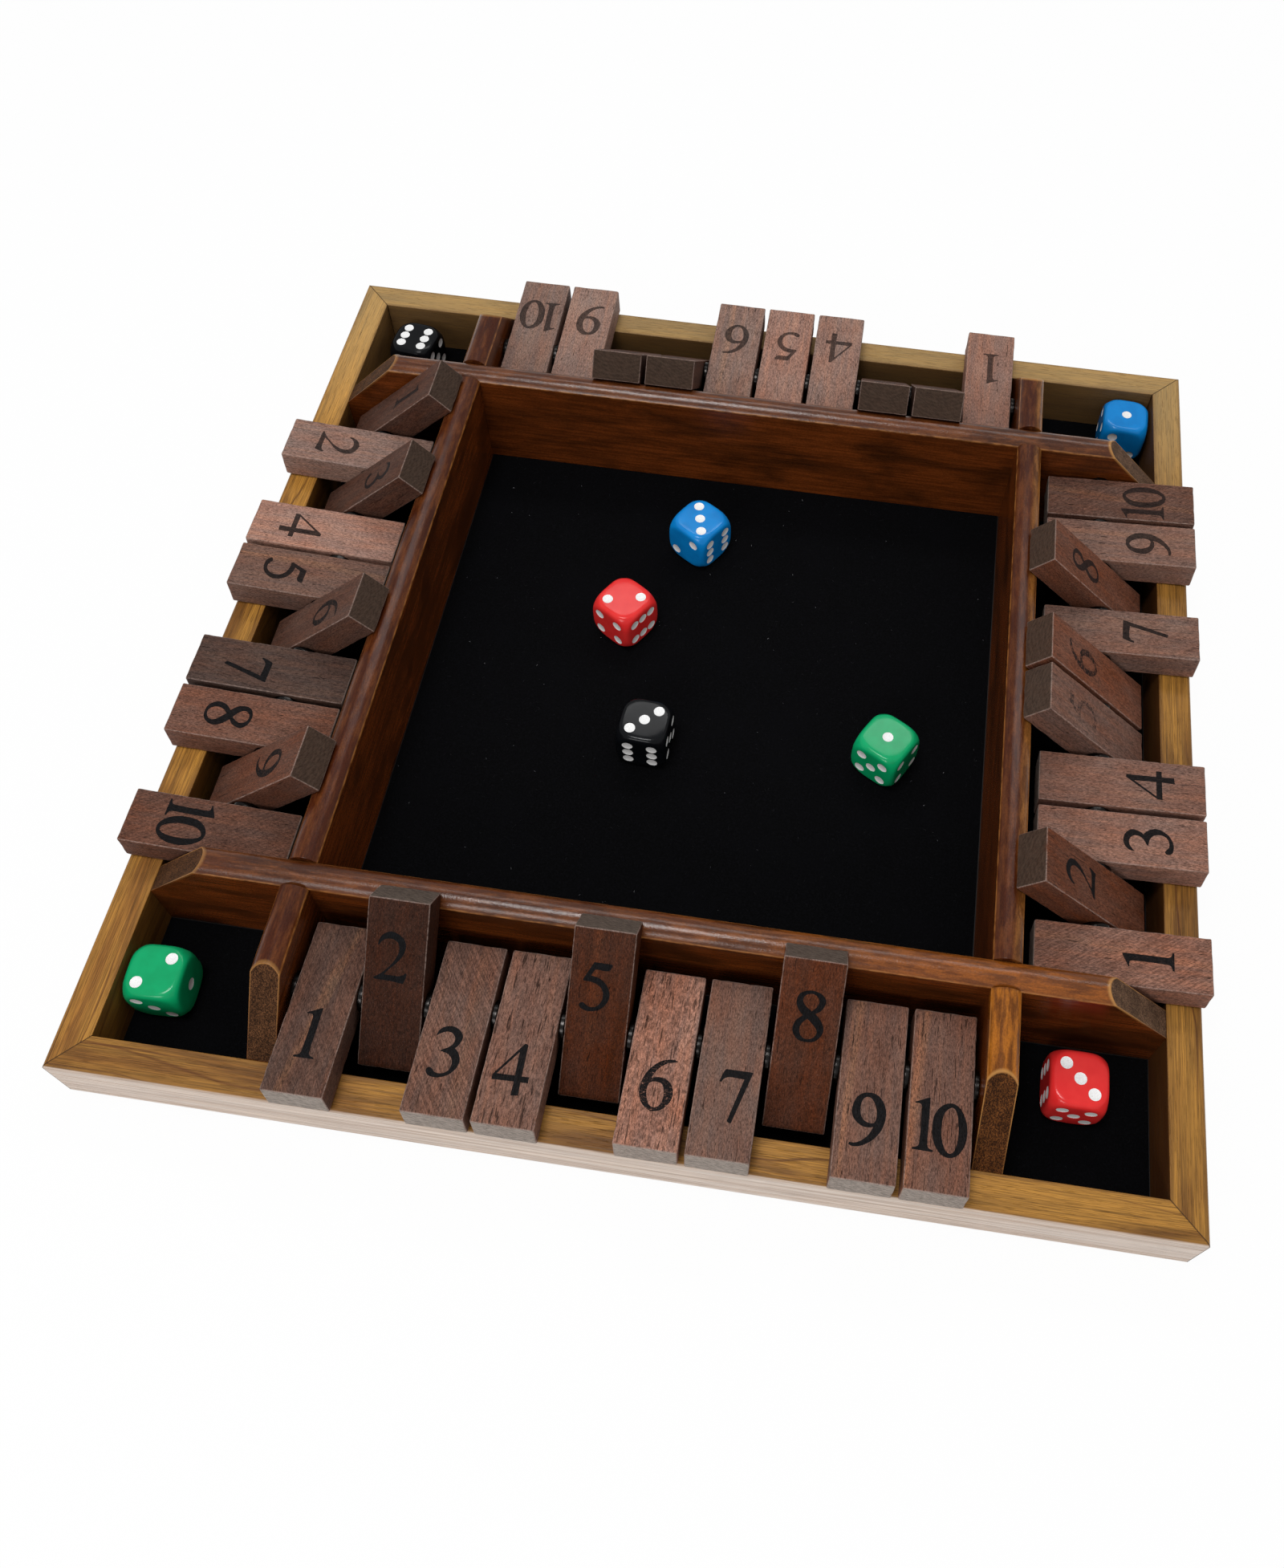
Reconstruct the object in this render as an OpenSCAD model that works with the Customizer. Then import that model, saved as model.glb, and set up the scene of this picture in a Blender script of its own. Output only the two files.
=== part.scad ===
// Shut the box game for four players: a square oak tray, four banks of ten numbered tiles on steel
// rods, and eight dice. Millimetres, +Z up, the middle of the box at x = y = 0, its underside at z = 0.

/* [Outer frame] */
// Side of the square frame, over the rails
box_side = 305; // [290:1:330]
// Height of the rails
rail_h = 20.4; // [18:0.1:21.5]
// Thickness of the rails, seen from above
rail_w = 10; // [8:0.5:11]
// Rounding of the frame's outer edges
rail_round = 1.2; // [0.4:0.1:2.5]

/* [Floor] */
// Thickness of the base panel between the rails
base_t = 2; // [1.5:0.1:2.5]
// Thickness of the felt glued to the base panel
felt_t = 0.6; // [0.4:0.1:1]
// Gap between the felt and what stands round it
felt_gap = 0.3; // [0.2:0.1:0.8]

/* [Inner walls] */
// Width of the channels between the rails and the walls
channel_w = 42.5; // [41:0.5:44]
// Thickness of the walls and dividers
wall_t = 8; // [7:0.2:9]
// Height of the walls' shoulders over the rails
wall_up = 17.6; // [16:0.1:18.5]
// Height of the round top over the shoulders
crown_h = 2.2; // [1.2:0.1:2.6]
// Drop of the bevelled wall ends below the rail top
bevel_drop = 0.2; // [0:0.1:2]

/* [Tiles] */
// Length of a tile
tile_l = 48; // [46:0.2:49]
// Thickness of a tile
tile_t = 9.8; // [9:0.1:10.4]
// Rounding of a tile's edges
tile_round = 0.5; // [0.2:0.1:1.5]
// Gap between neighbouring tiles, and between the end tiles and the walls
tile_gap = 1.64; // [1.2:0.02:2]
// Distance of the bore from a tile's inner end
bore_in = 17.5; // [16.5:0.1:17.8]
// Gap between a tile and the rail or the wall that it rests on
rest_gap = 0.15; // [0.1:0.05:0.3]

/* [Rods and washers] */
// Diameter of the rods
rod_d = 4; // [3:0.1:5]
// Distance of the rods' axes from the rails' inner faces
rod_in = 20.2; // [19:0.1:21]
// Height of the rods' axes over the rails
rod_up = 3.8; // [3.4:0.1:4.4]
// Depth of the holes that hold the rod ends
rod_seat = 5; // [3:0.5:6]
// Clearance round a rod in a tile's bore, on the radius
bore_gap = 0.06; // [0.03:0.01:0.09]
// Outside diameter of the washers
washer_d = 8.6; // [7:0.1:9]
// Play between a washer and the tile or wall on each side of it
washer_play = 0.25; // [0.1:0.05:0.4]

/* [Dice] */
// Width of a die over its faces
die_s = 16; // [15:0.5:16.5]
// Rounding of a die's edges
die_round = 1.6; // [1:0.1:3]
// How far the ball shape that rounds a die's corners cuts inside a sharp cube's corners
die_trim = 2.55; // [1.8:0.05:3]
// Distance of the outer pips from the middle of a face
pip_off = 3.8; // [3:0.1:4]
// Diameter of a pip at the surface
pip_d = 3.3; // [2:0.1:3.5]
// Depth of a pip
pip_deep = 0.5; // [0.2:0.1:0.9]

/* [Hidden] */
// Smoothness of round shapes.
$fn = 72;

// Frame and floor levels.
half = box_side / 2;
inner = half - rail_w;
floor_z = base_t + felt_t;

// The walls run between the rails, on the base panel.
wall_out = inner - channel_w;
wall_in = wall_out - wall_t;
wall_r = (wall_in + wall_out) / 2;
wall_h = rail_h + wall_up;
wall_top = wall_h + crown_h;
bevel_z = rail_h - bevel_drop;
crown_r = (pow(wall_t / 2, 2) + pow(crown_h, 2)) / (2 * crown_h);

// Rods, and ten tiles with eleven gaps between the walls.
rod_r = inner - rod_in;
rod_z = rail_h + rod_up;
tiles = 10;
tile_w = (2 * wall_in - (tiles + 1) * tile_gap) / tiles;
tile_pitch = tile_w + tile_gap;
washer_t = tile_gap - 2 * washer_play;

// A lying tile's lower face, half a thickness from the rod, rests on the inner edge of the rail.
lie_angle = asin((tile_t / 2 + rest_gap) / norm([rod_in, rod_up])) - atan2(rod_up, rod_in);

// A standing tile leans on the round top of the wall: its face is a tangent of the crown's circle.
crown_run = rod_r - wall_r;
crown_rise = wall_top - crown_r - rod_z;
lean_angle = 180 - atan2(crown_rise, crown_run)
    - asin((tile_t / 2 + rest_gap + crown_r) / norm([crown_run, crown_rise]));

// The four banks are turns of the front one.
front = 0;
right = 90;
back = 180;
left = 270;

// Colours.
oak = [0.62, 0.45, 0.2];
stain = [0.36, 0.17, 0.07];
walnut = [0.34, 0.22, 0.17];
felt_black = [0.05, 0.05, 0.06];
steel = [0.75, 0.75, 0.77];
red = [0.85, 0.1, 0.1];
blue = [0.08, 0.4, 0.75];
green = [0.05, 0.55, 0.3];
black = [0.08, 0.08, 0.09];

// ---- Shared shapes ----

// A rectangle with round corners, centred on the origin.
module round_rect(w, h, r) {
    difference() {
        square([w, h], center = true);
        for (sx = [-1, 1], sy = [-1, 1])
            translate([sx * (w / 2 - r), sy * (h / 2 - r)]) difference() {
                translate([min(0, sx * 2 * r), min(0, sy * 2 * r)]) square(2 * r);
                circle(r = r);
            }
    }
}

// A block with all twelve edges rounded, centred on the origin.
module round_block(size, r) {
    intersection() {
        linear_extrude(size.z, center = true) round_rect(size.x, size.y, r);
        rotate([90, 0, 0]) linear_extrude(size.y, center = true) round_rect(size.x, size.z, r);
        rotate([90, 0, 90]) linear_extrude(size.x, center = true) round_rect(size.y, size.z, r);
    }
}

// A wall along X from x0 to x1, standing on the base panel; bevel_0 and bevel_1 say which ends slope.
module wall(x0, x1, bevel_0, bevel_1) {
    slope = wall_top - bevel_z;
    intersection() {
        translate([x0, 0, 0]) rotate([90, 0, 90]) linear_extrude(x1 - x0) {
            translate([-wall_t / 2, base_t]) square([wall_t, wall_h - base_t]);
            intersection() {
                translate([0, wall_top - crown_r]) circle(r = crown_r);
                translate([-wall_t / 2, wall_h - 1]) square([wall_t, crown_h + 2]);
            }
        }
        rotate([90, 0, 0]) linear_extrude(wall_t + 2, center = true) polygon([
            [x0, base_t], [x1, base_t],
            [x1, bevel_1 ? bevel_z : wall_top], [x1 - (bevel_1 ? slope : 0), wall_top],
            [x0 + (bevel_0 ? slope : 0), wall_top], [x0, bevel_0 ? bevel_z : wall_top]
        ]);
    }
}

// The front bank's rod, along X between the bottoms of its blind holes. It cuts the holes too.
module rod() {
    translate([0, -rod_r, rod_z]) rotate([0, 90, 0])
        cylinder(d = rod_d, h = 2 * (wall_in + rod_seat), center = true);
}

// ---- Frame and floor ----

// One rail of the frame, with mitred ends, on the side of the given bank.
module rail(bank) {
    color(oak) rotate([0, 0, bank]) intersection() {
        translate([0, 0, rail_h / 2]) round_block([box_side, box_side, rail_h], rail_round);
        linear_extrude(rail_h)
            polygon([[-half, -half], [half, -half], [inner, -inner], [-inner, -inner]]);
    }
}

module front_rail() { rail(front); }
module right_rail() { rail(right); }
module back_rail() { rail(back); }
module left_rail() { rail(left); }

module base_panel() {
    color(stain) translate([-inner, -inner, 0]) cube([2 * inner, 2 * inner, base_t]);
}

// A sheet of felt between two corners, kept off what stands round it.
module felt(x0, y0, x1, y1) {
    translate([x0 + felt_gap, y0 + felt_gap, base_t])
        cube([x1 - x0 - 2 * felt_gap, y1 - y0 - 2 * felt_gap, felt_t]);
}

// Felt in the dice tray, in the corner wells and under the tiles.
module felt_lining() {
    color(felt_black) {
        felt(-wall_in, -wall_in, wall_in, wall_in);
        for (bank = [front, right, back, left]) rotate([0, 0, bank]) {
            felt(-wall_in, -inner, wall_in, -wall_out);
            felt(-inner, -inner, -wall_out, -wall_out);
        }
    }
}

// ---- Inner walls ----

// A long wall from rail to rail, with the blind holes of the side banks' rods in its inner face.
module long_wall(bank) {
    color(stain) rotate([0, 0, bank]) difference() {
        translate([0, -wall_r, 0]) wall(-inner, inner, true, true);
        for (side = [right, left]) rotate([0, 0, side]) rod();
    }
}

module front_wall() { long_wall(front); }
module back_wall() { long_wall(back); }

// The two walls between the long ones.
module side_walls() {
    color(stain) for (bank = [right, left]) rotate([0, 0, bank])
        translate([0, -wall_r, 0]) wall(-wall_in, wall_in, false, false);
}

// The four short walls between the long walls and the front and back rails, with the blind holes
// of the front and back rods.
module dividers() {
    color(stain) for (bank = [front, back], side = [-1, 1]) rotate([0, 0, bank]) difference() {
        translate([side * wall_r, 0, 0]) rotate([0, 0, -90]) wall(wall_out, inner, false, true);
        rod();
    }
}

// ---- Rods and washers ----

module pivot_rods() {
    color(steel) for (bank = [front, right, back, left]) rotate([0, 0, bank]) rod();
}

// A washer in each gap, on both sides of every tile.
module spacer_washers() {
    color(steel) for (bank = [front, right, back, left]) rotate([0, 0, bank])
        for (i = [0:tiles]) translate([(i - tiles / 2) * tile_pitch, -rod_r, rod_z])
            rotate([0, 90, 0]) difference() {
                cylinder(d = washer_d, h = washer_t, center = true);
                cylinder(d = rod_d + 2 * bore_gap, h = 2 * washer_t, center = true);
            }
}

// ---- Tiles ----

// Tile number i of a bank, turned about its rod by the given angle from level.
module tile(bank, i, angle) {
    color(walnut) rotate([0, 0, bank])
        translate([(i - (tiles + 1) / 2) * tile_pitch, -rod_r, rod_z]) rotate([-angle, 0, 0]) difference() {
            translate([0, bore_in - tile_l / 2, 0])
                round_block([tile_w, tile_l, tile_t], tile_round);
            rotate([0, 90, 0])
                cylinder(d = rod_d + 2 * bore_gap, h = tile_w + 2, center = true);
        }
}

module front_tile_1() { tile(front, 1, lie_angle); }
module front_tile_2() { tile(front, 2, lean_angle); }
module front_tile_3() { tile(front, 3, lie_angle); }
module front_tile_4() { tile(front, 4, lie_angle); }
module front_tile_5() { tile(front, 5, lean_angle); }
module front_tile_6() { tile(front, 6, lie_angle); }
module front_tile_7() { tile(front, 7, lie_angle); }
module front_tile_8() { tile(front, 8, lean_angle); }
module front_tile_9() { tile(front, 9, lie_angle); }
module front_tile_10() { tile(front, 10, lie_angle); }

module right_tile_1() { tile(right, 1, lie_angle); }
module right_tile_2() { tile(right, 2, lean_angle); }
module right_tile_3() { tile(right, 3, lie_angle); }
module right_tile_4() { tile(right, 4, lie_angle); }
module right_tile_5() { tile(right, 5, lean_angle); }
module right_tile_6() { tile(right, 6, lean_angle); }
module right_tile_7() { tile(right, 7, lie_angle); }
module right_tile_8() { tile(right, 8, lean_angle); }
module right_tile_9() { tile(right, 9, lie_angle); }
module right_tile_10() { tile(right, 10, lie_angle); }

module back_tile_1() { tile(back, 1, lie_angle); }
module back_tile_2() { tile(back, 2, lean_angle); }
module back_tile_3() { tile(back, 3, lean_angle); }
module back_tile_4() { tile(back, 4, lie_angle); }
module back_tile_5() { tile(back, 5, lie_angle); }
module back_tile_6() { tile(back, 6, lie_angle); }
module back_tile_7() { tile(back, 7, lean_angle); }
module back_tile_8() { tile(back, 8, lean_angle); }
module back_tile_9() { tile(back, 9, lie_angle); }
module back_tile_10() { tile(back, 10, lie_angle); }

module left_tile_1() { tile(left, 1, lean_angle); }
module left_tile_2() { tile(left, 2, lie_angle); }
module left_tile_3() { tile(left, 3, lean_angle); }
module left_tile_4() { tile(left, 4, lie_angle); }
module left_tile_5() { tile(left, 5, lie_angle); }
module left_tile_6() { tile(left, 6, lean_angle); }
module left_tile_7() { tile(left, 7, lie_angle); }
module left_tile_8() { tile(left, 8, lie_angle); }
module left_tile_9() { tile(left, 9, lean_angle); }
module left_tile_10() { tile(left, 10, lie_angle); }

// ---- Dice ----

// Places of the pips on each face, in steps of pip_off across the face.
pips = [
    [[0, 0]],
    [[1, -1], [-1, 1]],
    [[1, -1], [0, 0], [-1, 1]],
    [[1, 1], [1, -1], [-1, 1], [-1, -1]],
    [[1, 1], [1, -1], [0, 0], [-1, 1], [-1, -1]],
    [[1, 1], [1, 0], [1, -1], [-1, 1], [-1, 0], [-1, -1]]
];

// The hollows of one face: face 1 is at +X, 2 at +Y, 3 at +Z, 4 at -Z, 5 at -Y and 6 at -X.
module face_pips(value) {
    ball_r = (pow(pip_d / 2, 2) + pow(pip_deep, 2)) / (2 * pip_deep);
    lift = die_s / 2 - pip_deep + ball_r;
    for (p = pip_off * pips[value - 1])
        translate(
            value == 1 || value == 6 ? [(value == 1 ? 1 : -1) * lift, p.x, p.y] :
            value == 2 || value == 5 ? [p.x, (value == 2 ? 1 : -1) * lift, p.y] :
            [p.x, p.y, (value == 3 ? 1 : -1) * lift]
        ) sphere(r = ball_r);
}

// A die on the felt at [x, y]: turned in quarter turns to show its top, then by spin about Z.
module die(tone, place, turn, spin) {
    color(tone) translate([place.x, place.y, floor_z + die_s / 2])
        rotate([0, 0, spin]) rotate(turn) difference() {
            intersection() {
                round_block([die_s, die_s, die_s], die_round);
                sphere(r = die_s * sqrt(3) / 2 - die_trim);
            }
            for (value = [1:6]) face_pips(value);
        }
}

module red_tray_die() { die(red, [-29.8, 23.6], [90, 0, 180], -32.2); }
module blue_tray_die() { die(blue, [-10.6, 60.5], [0, 0, 180], -32.5); }
module green_tray_die() { die(green, [59.9, -15.8], [0, -90, 0], -29.8); }
module black_tray_die() { die(black, [-15, -21.2], [0, 0, 90], -3.1); }

// The corner dice keep their distances from the rails of their wells.
near = inner - die_s / 2;
module red_corner_die() { die(red, [near - 14.5, 20.6 - near], [0, 0, 0], -0.3); }
module blue_corner_die() { die(blue, [near - 0.8, near - 1.7], [0, -90, 180], -3.1); }
module green_corner_die() { die(green, [0.7 - near, 12.6 - near], [90, 0, 0], 2.3); }
module black_corner_die() { die(black, [5.8 - near, near - 4.9], [0, 90, 90], -7.4); }

// ---- Output ----

front_rail();
right_rail();
back_rail();
left_rail();
base_panel();
felt_lining();
front_wall();
back_wall();
side_walls();
dividers();
pivot_rods();
spacer_washers();
front_tile_1();
front_tile_2();
front_tile_3();
front_tile_4();
front_tile_5();
front_tile_6();
front_tile_7();
front_tile_8();
front_tile_9();
front_tile_10();
right_tile_1();
right_tile_2();
right_tile_3();
right_tile_4();
right_tile_5();
right_tile_6();
right_tile_7();
right_tile_8();
right_tile_9();
right_tile_10();
back_tile_1();
back_tile_2();
back_tile_3();
back_tile_4();
back_tile_5();
back_tile_6();
back_tile_7();
back_tile_8();
back_tile_9();
back_tile_10();
left_tile_1();
left_tile_2();
left_tile_3();
left_tile_4();
left_tile_5();
left_tile_6();
left_tile_7();
left_tile_8();
left_tile_9();
left_tile_10();
red_tray_die();
blue_tray_die();
green_tray_die();
black_tray_die();
red_corner_die();
blue_corner_die();
green_corner_die();
black_corner_die();
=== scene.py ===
import math
import random

import bmesh
import bpy
from mathutils import Euler, Matrix, Vector, geometry, noise


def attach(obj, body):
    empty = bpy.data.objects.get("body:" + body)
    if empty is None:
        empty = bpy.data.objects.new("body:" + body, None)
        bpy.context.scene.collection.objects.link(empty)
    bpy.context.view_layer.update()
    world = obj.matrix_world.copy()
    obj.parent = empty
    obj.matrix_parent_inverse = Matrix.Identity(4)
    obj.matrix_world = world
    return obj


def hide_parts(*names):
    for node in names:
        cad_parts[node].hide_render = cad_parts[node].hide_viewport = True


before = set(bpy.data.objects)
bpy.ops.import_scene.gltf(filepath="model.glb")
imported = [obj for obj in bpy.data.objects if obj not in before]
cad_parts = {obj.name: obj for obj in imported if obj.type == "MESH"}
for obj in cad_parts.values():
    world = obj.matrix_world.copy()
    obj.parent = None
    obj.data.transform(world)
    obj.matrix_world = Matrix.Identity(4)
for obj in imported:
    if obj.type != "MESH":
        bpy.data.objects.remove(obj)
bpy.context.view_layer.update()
mm = 0.001  # sizes below are in millimetres, and meshes are scaled by this when they are placed
banks = {"front": 0, "right": 90, "back": 180, "left": 270}  # turns of the front side about Z


# A colour from its usual six digits, in the linear values that shaders take
def paint(digits):
    parts = [int(digits[k:k + 2], 16) / 255 for k in (0, 2, 4)]
    return tuple(p / 12.92 if p <= 0.04045 else ((p + 0.055) / 1.055) ** 2.4 for p in parts) + (1,)


# One socket of a graph. Sums and products of wires and numbers add Math nodes.
class Wire:
    def __init__(self, graph, socket):
        self.graph, self.socket = graph, socket

    def math(self, operation, other=0.0, swapped=False):
        pair = {0: other, 1: self} if swapped else {0: self, 1: other}
        return self.graph.node("ShaderNodeMath", {"operation": operation}, pair)

    def __add__(self, other): return self.math("ADD", other)
    def __sub__(self, other): return self.math("SUBTRACT", other)
    def __rsub__(self, other): return self.math("SUBTRACT", other, True)
    def __mul__(self, other): return self.math("MULTIPLY", other)
    def __truediv__(self, other): return self.math("DIVIDE", other)
    def __abs__(self): return self.math("ABSOLUTE")
    def __gt__(self, other): return self.math("GREATER_THAN", other)
    __radd__, __rmul__ = __add__, __mul__

    # Colours and places go through Vector Math
    def vector(self, operation, slot, other):
        return self.graph.node(
            "ShaderNodeVectorMath", {"operation": operation}, {0: self, slot: other})

    def scale(self, level): return self.vector("SCALE", "Scale", level)
    def times(self, factors): return self.vector("MULTIPLY", 1, factors)
    def plus(self, offset): return self.vector("ADD", 1, offset)

    def siblings(self):
        return [Wire(self.graph, socket) for socket in self.socket.node.outputs]

    def split(self):
        return self.graph.node("ShaderNodeSeparateXYZ", inputs={0: self}).siblings()

    # 0 below low and 1 above high, with a soft step between
    def ramp(self, low, high):
        return self.graph.node("ShaderNodeMapRange", {"interpolation_type": "SMOOTHSTEP"}, {
            "Value": self, "From Min": low, "From Max": high})

    # Noise over a place, with its waves per millimetre along X, Y and Z or along all three
    def noise(self, waves, detail=2.0, rough=0.5, warp=0.0):
        waves = waves if isinstance(waves, tuple) else (waves,) * 3
        return self.graph.node("ShaderNodeTexNoise", None, {
            "Vector": self.times(waves), "Scale": 1.0, "Detail": detail,
            "Roughness": rough, "Distortion": warp})

    # Goes from one colour to the other as this wire goes from 0 to 1
    def between(self, first, second):
        first, second = (paint(c) if isinstance(c, str) else c for c in (first, second))
        return self.graph.node("ShaderNodeMix", {"data_type": "RGBA"},
                               {0: self, 6: first, 7: second}, output=2)

    # Lays another colour over this one, as strongly as the share says
    def blend(self, other, share):
        return share.between(self, other)


class Graph:
    def __init__(self, tree):
        self.tree = tree

    # Adds any node: its settings first, then the values or wires of its inputs
    def node(self, kind, settings=None, inputs=None, output=0):
        made = self.tree.nodes.new(kind)
        for name, value in (settings or {}).items():
            setattr(made, name, value)
        for name, value in (inputs or {}).items():
            for part in value if isinstance(value, list) else [value]:  # a list joins several wires
                if isinstance(part, Wire):
                    self.tree.links.new(part.socket, made.inputs[name])
                else:
                    made.inputs[name].default_value = part
        return Wire(self, made.outputs[output]) if made.outputs else None

    def join(self, x, y, z):
        return self.node("ShaderNodeCombineXYZ", inputs={0: x, 1: y, 2: z})


class Finish(Graph):
    def __init__(self, name):
        self.material = bpy.data.materials.new(name)
        self.material.use_nodes = True
        super().__init__(self.material.node_tree)
        self.tree.nodes.clear()

    # Object coordinates in millimetres
    def place(self):
        return self.node("ShaderNodeTexCoord", output=3).scale(1 / mm)

    def attribute(self, name, output=1):  # output 1 is a vector and 2 a number
        return self.node("ShaderNodeAttribute", {"attribute_name": name}, output=output)

    def bump(self, height, depth):
        return self.node("ShaderNodeBump", None, {
            "Height": height, "Distance": depth * mm, "Strength": 1.0})

    def surface(self, **inputs):
        shader = self.node("ShaderNodeBsdfPrincipled", None, {
            name.replace("_", " "): value for name, value in inputs.items()})
        self.node("ShaderNodeOutputMaterial", None, {"Surface": shader})
        return self.material


# A Geometry Nodes tree with named inputs
class Recipe(Graph):
    def __init__(self, name, **values):
        super().__init__(bpy.data.node_groups.new(name, "GeometryNodeTree"))
        face = self.tree.interface
        face.new_socket("Geometry", in_out="INPUT", socket_type="NodeSocketGeometry")
        face.new_socket("Geometry", in_out="OUTPUT", socket_type="NodeSocketGeometry")
        self.values = {}
        for label, value in values.items():
            kind = "NodeSocketInt" if isinstance(value, int) else "NodeSocketFloat"
            socket = face.new_socket(label, in_out="INPUT", socket_type=kind)
            self.values[socket.identifier] = value
        start = self.tree.nodes.new("NodeGroupInput")
        self.inputs = {socket.name: Wire(self, socket) for socket in start.outputs if socket.name}

    def turned(self, shape, turn, move=(0, 0, 0)):
        return self.node("GeometryNodeTransform", None, {
            "Geometry": shape, "Rotation": Euler(turn), "Translation": move})

    # Ends the tree, runs it on a piece and leaves a plain mesh
    def run(self, piece, shape, material, only=True):
        real = self.node("GeometryNodeRealizeInstances", None, {0: shape})
        done = self.node("GeometryNodeSetMaterial", None, {
            "Geometry": real, "Selection": only, "Material": material})
        self.node("NodeGroupOutput", None, {0: done})
        modifier = piece.modifiers.new("recipe", "NODES")
        modifier.node_group = self.tree
        for identifier, value in self.values.items():
            modifier[identifier] = value
        return settle(piece)


# A piece from a bmesh that is drawn in millimetres
def pieceFrom(build, name, materials, move=Matrix()):
    build.transform(Matrix.Scale(mm, 4) @ move)
    mesh = bpy.data.meshes.new(name)
    build.to_mesh(mesh)
    build.free()
    for material in materials:
        mesh.materials.append(material)
    piece = bpy.data.objects.new(name, mesh)
    bpy.context.scene.collection.objects.link(piece)
    return piece


# Leaves what a piece's modifiers make as a plain mesh
def settle(piece):
    graph = bpy.context.evaluated_depsgraph_get()
    graph.update()
    mesh = bpy.data.meshes.new_from_object(
        piece.evaluated_get(graph), preserve_all_data_layers=True, depsgraph=graph)
    piece.modifiers.clear()
    mesh.name = piece.name
    piece.data = mesh
    return piece


# Smooth shading that keeps flat faces flat and edges over the angle sharp
def smooth(piece, angle=35):
    piece.data.shade_smooth()
    piece.data.set_sharp_from_angle(angle=math.radians(angle))
    modifier = piece.modifiers.new("normals", "WEIGHTED_NORMAL")
    modifier.keep_sharp = True
    return settle(piece)


# Joins rings of points into one closed skin
def loft(rings):
    build = bmesh.new()
    rows = [[build.verts.new(point) for point in ring] for ring in rings]
    for first, second in zip(rows, rows[1:]):
        for k in range(len(first)):
            j = (k + 1) % len(first)
            build.faces.new((first[k], first[j], second[j], second[k]))
    build.faces.new(rows[0][::-1])
    build.faces.new(rows[-1])
    bmesh.ops.recalc_face_normals(build, faces=build.faces)
    return build


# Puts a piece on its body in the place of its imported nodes
def dress(piece, body, slot, *nodes):
    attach(piece, body)
    if nodes:
        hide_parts(*nodes)
    return piece


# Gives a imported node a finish, and keeps its mesh
def coat(name, material):
    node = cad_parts[name]
    if not node.material_slots:
        node.data.materials.append(material)
    for slot in node.material_slots:
        slot.material = material


studio = {
    "camera": (37.5, -238.2, 380.6),
    "yaw": -6.56, "pitch": 58.08, "roll": 2.03,
    "focal": 1715.1, "centre": (914.1, 887.0), "frame": (1600, 1954),  # in pixels
    "ambient": 0.5,
    "top": {"place": (-160, -160, 1180), "size": (0.3, 0.3), "power": 4.6},
    "rear": {"place": (40, 640, 1000), "size": (0.9, 0.2), "power": 2.3},
    "window": {"place": (-220, -820, 540), "size": (0.4, 0.25), "power": 1.9},
    "floorWhite": 0.95,  # share of the floor's colour that no shadow darkens
    "floorShade": (0.86, 0.86, 0.87, 1), "floorHalf": 4000, "floorDrop": 0.3,
}


def addCamera():
    yaw, pitch, roll = (math.radians(studio[k]) for k in ("yaw", "pitch", "roll"))
    ahead = Vector((
        math.sin(yaw) * math.cos(pitch), math.cos(yaw) * math.cos(pitch), -math.sin(pitch)))
    side = Vector((math.cos(yaw), -math.sin(yaw), 0))
    above = side.cross(ahead)
    right = math.cos(roll) * side + math.sin(roll) * above
    above = math.cos(roll) * above - math.sin(roll) * side
    data = bpy.data.cameras.new("camera")
    width, height = studio["frame"]
    data.lens = studio["focal"] * data.sensor_width / height
    data.shift_x = (width / 2 - studio["centre"][0]) / height
    data.shift_y = (studio["centre"][1] - height / 2) / height
    data.clip_start, data.clip_end = 0.01, 20
    camera = bpy.data.objects.new("camera", data)
    camera.matrix_world = Matrix.Translation(Vector(studio["camera"]) * mm) @ Matrix(
        (right, above, -ahead)).transposed().to_4x4()
    bpy.context.scene.collection.objects.link(camera)
    bpy.context.scene.camera = camera


def addLight(name):
    data = bpy.data.lights.new(name, "AREA")
    data.shape = "RECTANGLE"
    data.size, data.size_y = studio[name]["size"]
    data.energy = studio[name]["power"]
    lamp = bpy.data.objects.new(name, data)
    lamp.location = Vector(studio[name]["place"]) * mm
    lamp.rotation_euler = (-lamp.location).to_track_quat("-Z", "Y").to_euler()
    bpy.context.scene.collection.objects.link(lamp)


def addWorld():
    world = bpy.data.worlds.new("studio")
    world.use_nodes = True
    bpy.context.scene.world = world
    graph = Graph(world.node_tree)
    graph.tree.nodes.clear()
    seen = graph.node("ShaderNodeLightPath")
    sky = graph.node("ShaderNodeBackground", None, {
        "Color": (1, 1, 1, 1), "Strength": seen * (1 - studio["ambient"]) + studio["ambient"]})
    graph.node("ShaderNodeOutputWorld", None, {"Surface": sky})


def addFloor():
    finish = Finish("paleFloor")
    rays = finish.node("ShaderNodeLightPath").siblings()
    seen = (rays[0] + rays[3] + rays[6]).math("MINIMUM", 1.0)  # camera, glossy and through
    matt = finish.node("ShaderNodeBsdfDiffuse", None, {"Color": studio["floorShade"]})
    white = finish.node("ShaderNodeEmission", None, {"Color": (1, 1, 1, 1), "Strength": 1.0})
    share = seen * studio["floorWhite"]
    both = finish.node("ShaderNodeMixShader", None, {0: share, 1: matt, 2: white})
    finish.node("ShaderNodeOutputMaterial", None, {"Surface": both})
    build = bmesh.new()
    bmesh.ops.create_grid(build, x_segments=1, y_segments=1, size=studio["floorHalf"])
    drop = Matrix.Translation((0, 0, -studio["floorDrop"]))
    pieceFrom(build, "floor", [finish.material], drop)


bpy.context.scene.view_settings.view_transform = "Standard"
addCamera()
for name in ("top", "rear", "window"):
    addLight(name)
addWorld()
addFloor()
print("studio ready")


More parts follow.
